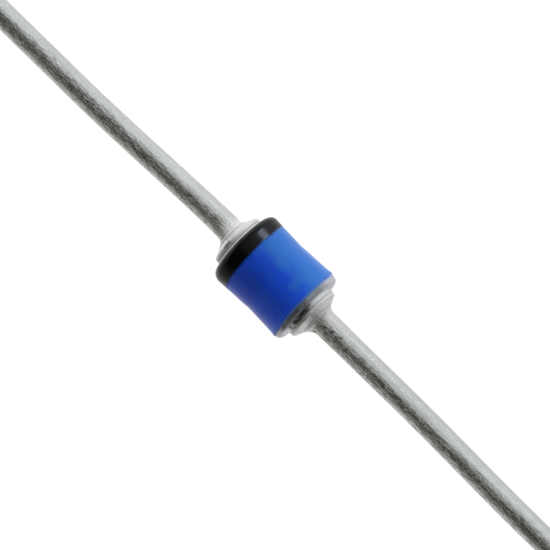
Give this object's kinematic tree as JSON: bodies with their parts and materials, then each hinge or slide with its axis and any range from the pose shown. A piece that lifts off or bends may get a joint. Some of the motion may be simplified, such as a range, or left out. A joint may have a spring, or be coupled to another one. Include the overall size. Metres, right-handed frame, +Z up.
{
  "type": "rectifier diode",
  "caption": "Axial-lead rectifier diode: short waisted glass body in blue paint with a black cathode band, stepped nail-head ends and straight tinned leads for soldering.",
  "frame": {"origin": "centre of the silicon die, on the lead axis, midway between the lead tips", "axes": "+X along the lead axis from the anode towards the cathode, +Z up with the leads level"},
  "size_m": [0.06, 0.0034, 0.0034],
  "materials": {
    "tinned_wire": "satin tin plating, slightly grainy",
    "braze": "dull silver braze",
    "tungsten": "ground tungsten, satin",
    "die_bond": "thin bonded metal",
    "silicon": "polished silicon",
    "sleeve_glass": "clear fused glass, faint lilac tint",
    "blue_paint": "glossy blue paint on glass",
    "black_paint": "glossy black paint on glass"
  },
  "bodies": {
    "root": {"cathode_lead": "tinned_wire", "anode_lead": "tinned_wire", "cathode_lead_braze": "braze", "anode_lead_braze": "braze", "cathode_slug": "tungsten", "anode_slug": "tungsten", "cathode_die_bond": "die_bond", "anode_die_bond": "die_bond", "silicon_die": "silicon", "glass_sleeve": "sleeve_glass", "body_coat": "blue_paint", "cathode_band": "black_paint"}
  },
  "joints": []
}
